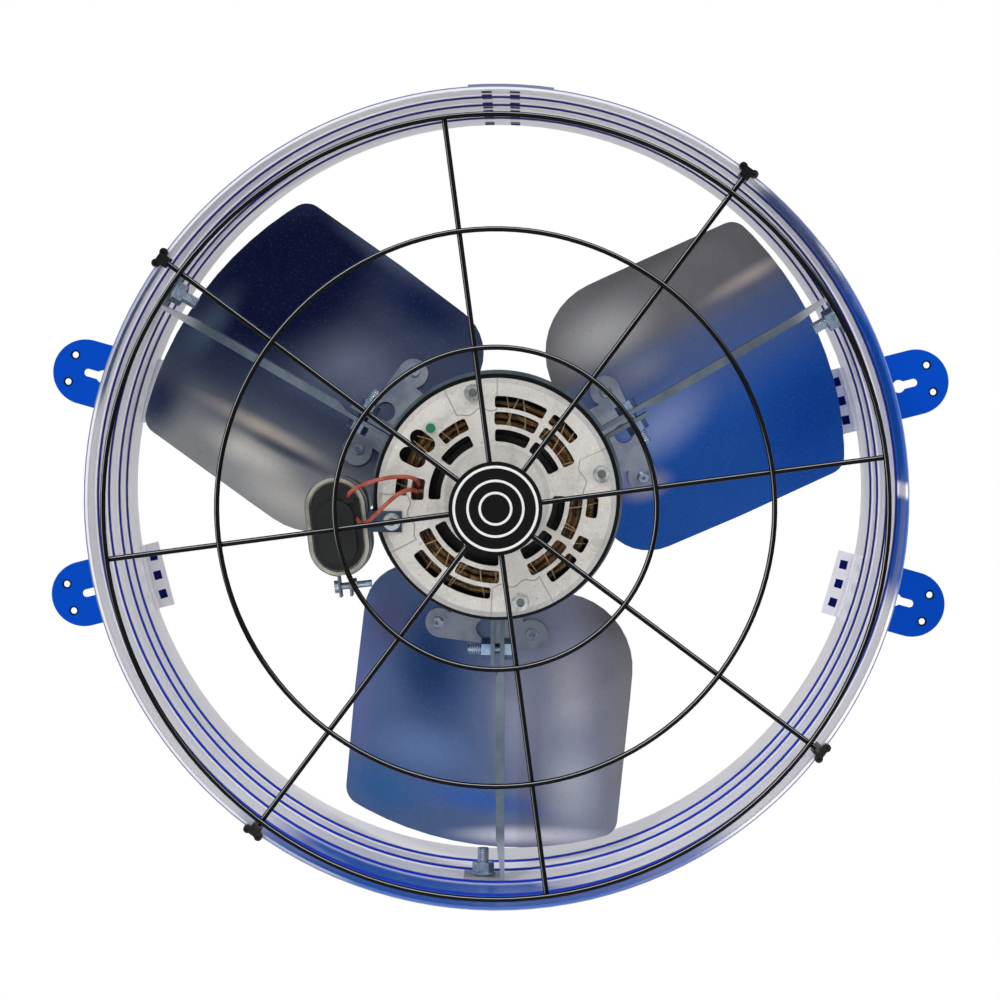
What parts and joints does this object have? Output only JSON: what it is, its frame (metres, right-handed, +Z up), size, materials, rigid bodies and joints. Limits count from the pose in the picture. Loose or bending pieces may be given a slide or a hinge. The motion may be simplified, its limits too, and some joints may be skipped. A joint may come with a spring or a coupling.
{
  "type": "gable attic fan",
  "caption": "Gable attic fan: round ribbed shroud on keyhole ears, wire guard, and a strap-mounted capacitor motor turning a riveted fan.",
  "frame": {"origin": "centre of the four keyholes, on the back faces of the mounting ears, on the fan's axis", "axes": "+Y out of the back, along the fan's axis and the air's way out; the guard and motor face -Y; +X along the longest side; +Z up"},
  "size_m": [0.5626, 0.2177, 0.464],
  "materials": {
    "galvanised": "semi-gloss galvanised sheet",
    "blue_paint": "gloss blue paint",
    "black_wire": "gloss black coating",
    "black_spring": "black phosphate spring steel",
    "zinc_strap": "dull zinc",
    "zinc_bolt": "bright zinc",
    "black_shell": "satin black paint",
    "cast_aluminium": "as cast",
    "core_steel": "dark laminations",
    "winding_copper": "varnished copper bundle",
    "bearing_steel": "ground",
    "green_screw": "green ground screw",
    "capacitor_metal": "matt can",
    "black_rubber": "soft matt",
    "lead_insulation": "red insulation",
    "blade_metal": "mill finish",
    "spider_steel": "zinc plated",
    "rivet_metal": "bright"
  },
  "bodies": {
    "frame": {"shroud": "galvanised", "ear_upper_right": "blue_paint", "ear_upper_left": "blue_paint", "ear_lower_left": "blue_paint", "ear_lower_right": "blue_paint", "guard_ring_outer": "black_wire", "guard_ring_middle": "black_wire", "guard_ring_inner": "black_wire", "guard_spokes_long": "black_wire", "guard_spokes_short": "black_wire", "guard_badge_plate": "black_wire", "guard_clips": "black_spring", "arm_right": "zinc_strap", "arm_left": "zinc_strap", "arm_bottom": "zinc_strap", "foot_bolts": "zinc_bolt", "foot_nuts": "zinc_bolt", "clamp_bolts": "zinc_bolt", "clamp_nuts": "zinc_bolt", "motor_shell": "black_shell", "end_bell_front": "cast_aluminium", "end_bell_rear": "cast_aluminium", "stator_core": "core_steel", "winding_front": "winding_copper", "winding_rear": "winding_copper", "bearing_front": "bearing_steel", "bearing_rear": "bearing_steel", "through_bolts": "zinc_bolt", "through_nuts": "zinc_bolt", "ground_screw": "green_screw", "capacitor_can": "capacitor_metal", "capacitor_boot": "black_rubber", "capacitor_strap": "zinc_strap", "capacitor_bracket": "zinc_strap", "strap_screw": "zinc_bolt", "strap_nut": "zinc_bolt", "lead_upper": "lead_insulation", "lead_lower": "lead_insulation"},
    "rotor": {"motor_shaft": "bearing_steel", "rotor_core": "core_steel", "fan_hub": "bearing_steel", "hub_set_screw": "black_spring", "spider": "spider_steel", "blade_1": "blade_metal", "blade_2": "blade_metal", "blade_3": "blade_metal", "rivets": "rivet_metal"}
  },
  "joints": [
    {"name": "rotor_spin", "type": "hinge", "parent": "frame", "child": "rotor", "pos_m": [0, -0.06, 0], "axis": [0, 1, 0], "continuous": true}
  ]
}
